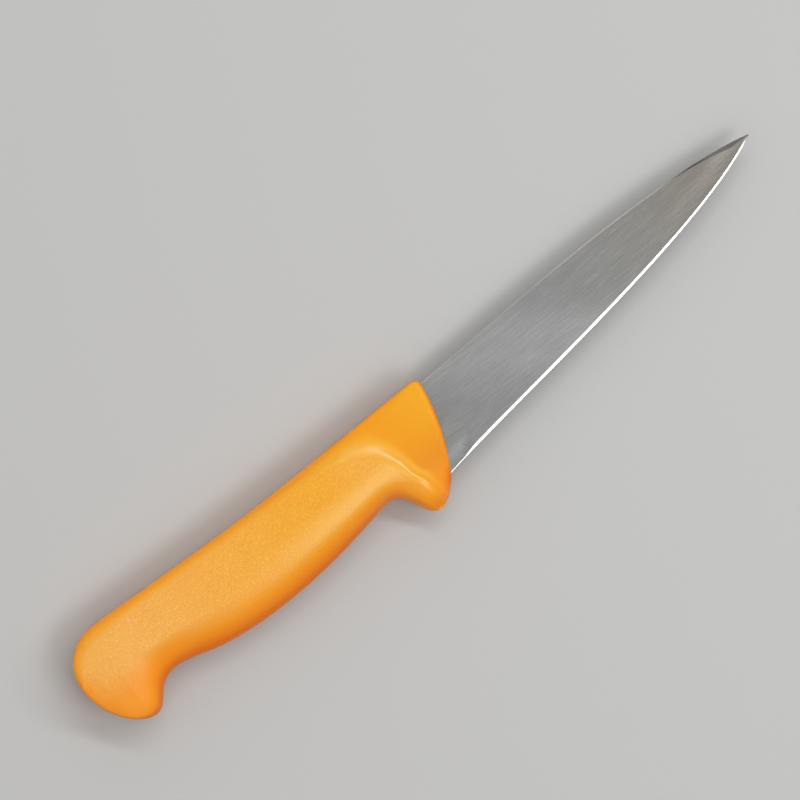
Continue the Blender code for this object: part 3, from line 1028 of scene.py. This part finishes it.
def make_pins(name, grow):
    """Round bars where the tang's holes are; grow narrows them for the moulding's posts."""
    bm = bmesh.new()
    first = TANG_BACK + HOLE_COVER
    last = -GUARD_PLACE - HOLE_COVER
    for x in np.linspace(first, last, HOLE_COUNT):
        radius = HOLE_RADIUS - grow
        sizes = {"segments": HOLE_SEGMENTS, "radius1": radius, "radius2": radius, "depth": 4 * TANG_HALF}
        made = bmesh.ops.create_cone(bm, cap_ends=True, **sizes)
        bmesh.ops.translate(bm, vec=(x, TANG_MIDDLE, 0), verts=made["verts"])
    return solid(name, bm)


def make_slot():
    """The space for the blade's root in the handle's front."""
    spine = trace(SPINE_KNOTS, SPINE_HANDLES, BLADE_STATIONS)
    edge = trace(EDGE_KNOTS, EDGE_HANDLES, 2 * BLADE_STATIONS)
    up = (spine[0] - edge[0]) / np.linalg.norm(spine[0] - edge[0]) * FIT
    corners = []
    for (start, ahead), side in ((spine[:2], up), (edge[:2], -up)):
        forward = (ahead - start) / np.linalg.norm(ahead - start)
        corners.append(start - forward * (ROOT_DEPTH + FIT) + side)
        corners.append(start + forward * ROOT_DEPTH + side)
    outline = [corners[0], corners[1], corners[3], corners[2]]
    bm = bmesh.new()
    layers = []
    for sign in (-1, 1):
        layer = [(*p, sign * (half_thickness(p) + FIT)) for p in outline]
        layers.append([bm.verts.new(point) for point in layer])
    low, high = layers
    bm.faces.new(low)
    bm.faces.new(high)
    for i in range(4):
        j = (i + 1) % 4
        bm.faces.new((low[i], low[j], high[j], high[i]))
    return solid("root_slot", bm)


# Corners sharper than this stay hard, in degrees
HANDLE_CORNER = 42
BLADE_CORNER = 25


def make_handle(finish):
    """The moulding: its lofted skin, less the spaces for the tang and the blade's root."""
    tree = handle_tree()
    values = {name: make_rail(name, *outline) for name, outline in RAILS.items()}
    rails = list(values.values())
    handle = new_piece("moulded_handle", bpy.data.meshes.new("moulded_handle"))
    loft = handle.modifiers.new("loft", "NODES")
    loft.node_group = tree
    values.update({"Origin": ORIGIN, "Finish": finish})
    values.update(HANDLE_SIZES)
    for item in tree.interface.items_tree:
        if item.in_out == "INPUT":
            loft[item.identifier] = values[item.name]
    space = make_bar("tang_space", FIT)
    posts = make_pins("posts", FIT)
    slot = make_slot()
    boolean(space, "DIFFERENCE", posts)
    boolean(handle, "DIFFERENCE", space)
    boolean(handle, "DIFFERENCE", slot)
    settle(handle, [*rails, space, posts, slot])
    handle.data.set_sharp_from_angle(angle=math.radians(HANDLE_CORNER))
    return handle


def mark_grind_lines(piece):
    """Edges between two finishes, and other hard corners, stay sharp."""
    bm = bmesh.new()
    bm.from_mesh(piece.data)
    for face in bm.faces:
        face.smooth = True
    for edge in bm.edges:
        faces = edge.link_faces
        finishes = {face.material_index for face in faces}
        soft = edge.calc_face_angle(0) < math.radians(BLADE_CORNER)
        edge.smooth = len(finishes) == 1 and soft
    bm.to_mesh(piece.data)
    bm.free()


# Steel tones, and the finish of each strip of the blade; the satin side warms towards the tip as a painted
# brownish reflection, and the bevel turns dark at the tip as a painted dark reflection
BRIGHT = (0.56, 0.565, 0.565, 1)
GREY = (0.286, 0.291, 0.289, 1)
# Painted reflection: a warmer, brownish grey towards the tip of the satin side
PAINTED_WARM_REFLECTION = (0.266, 0.247, 0.218, 1)
BEIGE = (0.61, 0.580, 0.525, 1)
# Painted dark reflection for the bevel at the tip
PAINTED_DARK_BEVEL = (0.050, 0.050, 0.051, 1)
SHADED = (0.104, 0.097, 0.097, 1)
steels = [
    steel("honed_bevel", (BRIGHT, PAINTED_DARK_BEVEL), (0.1370, 0.1440), 0.14, 0.0),
    # The satin side's last value is the strength of its painted reflection band
    steel("satin_ground_side", (GREY, PAINTED_WARM_REFLECTION), (0.055, 0.138), 0.26, 0.03, 0.21),
    steel("ground_swage", (BEIGE, SHADED), (0.108, 0.124), 0.42, 0.04),
    steel("ground_spine", (BEIGE, BEIGE), (0.0, 0.1), 0.34, 0.04),
]

handle = make_handle(amber_moulding())
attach(handle, "root")
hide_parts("handle")

blade = make_blade(steels)
tang = make_bar("tang", 0.0)
holes = make_pins("tang_holes", 0.0)
for cutter in (tang, holes):
    finish_all(cutter, steels, GROUND)
boolean(blade, "UNION", tang)
boolean(blade, "DIFFERENCE", holes)
settle(blade, [tang, holes])
mark_grind_lines(blade)
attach(blade, "root")
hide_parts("blade")

# Floor
FLOOR_HALF = 3.0
FLOOR_GAP = 0.00002
FLOOR_COLOUR = (0.52, 0.52, 0.515, 1)
FLOOR_ROUGHNESS = 0.8
floor_material, _, floor_shader = material_graph("pale_floor")
floor_shader.inputs["Base Color"].default_value = FLOOR_COLOUR
floor_shader.inputs["Roughness"].default_value = FLOOR_ROUGHNESS
bm = bmesh.new()
bmesh.ops.create_grid(bm, x_segments=1, y_segments=1, size=FLOOR_HALF)
mesh = bpy.data.meshes.new("floor")
bm.to_mesh(mesh)
bm.free()
floor = new_piece("floor", mesh)
floor.location = (0, 0, cad_box[0].z - FLOOR_GAP)
floor.data.materials.append(floor_material)

# Soft studio light: a grey room, a broad main light on the spine side, a small one on the edge side for the
# bevel, and a narrow strip for the crest of the crease. Each light has its lean along x and along y from
# overhead and its spin, in degrees, then its width, depth, power and colour
ROOM_GREY = (0.22, 0.22, 0.22, 1)
LIGHT_DISTANCE = 1.4
LIGHTS = {
    "main_light": (-6, 10, 0, 4.6, 4.6, 31.0, (1.0, 0.99, 0.97)),
    "edge_light": (11, -25, 0, 0.64, 0.42, 4.5, (1.0, 1.0, 1.0)),
    "crease_light": (29.8, 7.0, 124.5, 1.79, 0.16, 7.4, (1.0, 1.0, 1.0)),
}
world = bpy.data.worlds.new("studio")
bpy.context.scene.world = world
world.use_nodes = True
world.node_tree.nodes["Background"].inputs["Color"].default_value = ROOM_GREY


def area_light(name, lean_x, lean_y, spin, width, depth, power, colour):
    """A soft light aimed at the knife; its width is along x before the spin."""
    data = bpy.data.lights.new(name, "AREA")
    data.shape = "RECTANGLE"
    data.size = width
    data.size_y = depth
    data.energy = power
    data.color = colour
    light = bpy.data.objects.new(name, data)
    bpy.context.scene.collection.objects.link(light)
    away = Vector((math.tan(math.radians(lean_x)), math.tan(math.radians(lean_y)), 1)).normalized()
    along = (Vector((1, 0, 0)) - away * away.x).normalized()
    turn = Matrix((along, away.cross(along), away)).transposed()
    spun = turn.to_4x4() @ Matrix.Rotation(math.radians(spin), 4, "Z")
    light.matrix_world = Matrix.Translation(away * LIGHT_DISTANCE) @ spun


for light_name, light_settings in LIGHTS.items():
    area_light(light_name, *light_settings)

# Camera: straight above, turned so that the knife runs from lower left to upper right
CAMERA_X = -0.00166
CAMERA_Y = 0.01517
CAMERA_LENS = 250
CAMERA_HEIGHT = 1.8518
CAMERA_TURN = -39.0
CAMERA_NEAR = 0.01
camera_data = bpy.data.cameras.new("camera")
camera_data.lens = CAMERA_LENS
camera_data.clip_start = CAMERA_NEAR
camera = bpy.data.objects.new("camera", camera_data)
bpy.context.scene.collection.objects.link(camera)
camera.location = (CAMERA_X, CAMERA_Y, ORIGIN.z + CAMERA_HEIGHT)
camera.rotation_euler = (0, 0, math.radians(CAMERA_TURN))
bpy.context.scene.camera = camera
bpy.context.scene.view_settings.view_transform = "Standard"
